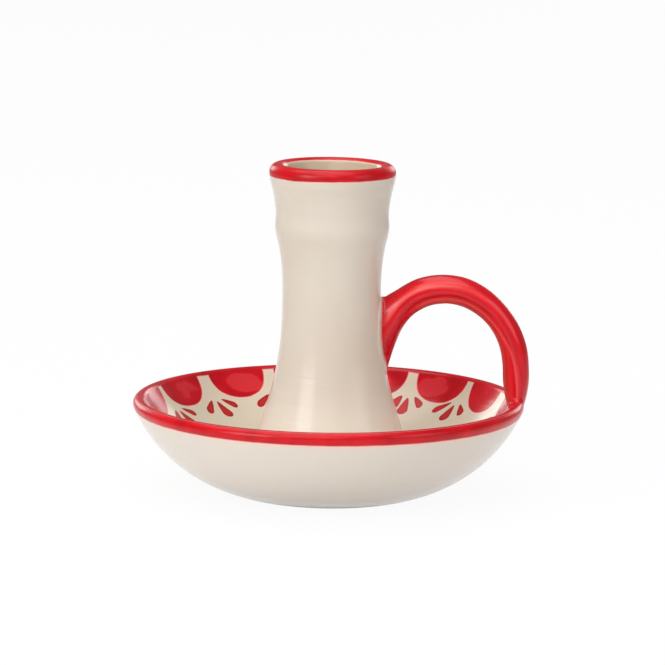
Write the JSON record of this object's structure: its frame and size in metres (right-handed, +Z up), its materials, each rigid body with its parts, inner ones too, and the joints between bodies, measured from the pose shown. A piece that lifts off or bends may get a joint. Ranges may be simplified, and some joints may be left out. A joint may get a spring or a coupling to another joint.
{
  "type": "chamberstick",
  "caption": "Hand-held ceramic chamberstick: a hollow flared candle column standing in a shallow round drip dish, with a finger loop from the column's waist to the dish's rim.",
  "frame": {"origin": "centre of the foot ring's resting plane, on the candle column's axis", "axes": "+Z up along the candle's axis; +X from the column towards the finger loop; +Y away from the viewer of the front"},
  "size_m": [0.1215, 0.12, 0.1014],
  "materials": {
    "painted_dish_glaze": "glossy clear glaze over cream clay with brushed red bands and petals",
    "cream_glaze": "glossy clear glaze over cream clay",
    "red_glaze": "glossy glaze over brushed red underglaze"
  },
  "bodies": {
    "root": {"drip_pan": "painted_dish_glaze", "candle_column": "cream_glaze", "foot_slip": "cream_glaze", "finger_loop": "red_glaze", "upper_slip": "red_glaze", "lower_slip": "red_glaze"}
  },
  "joints": []
}
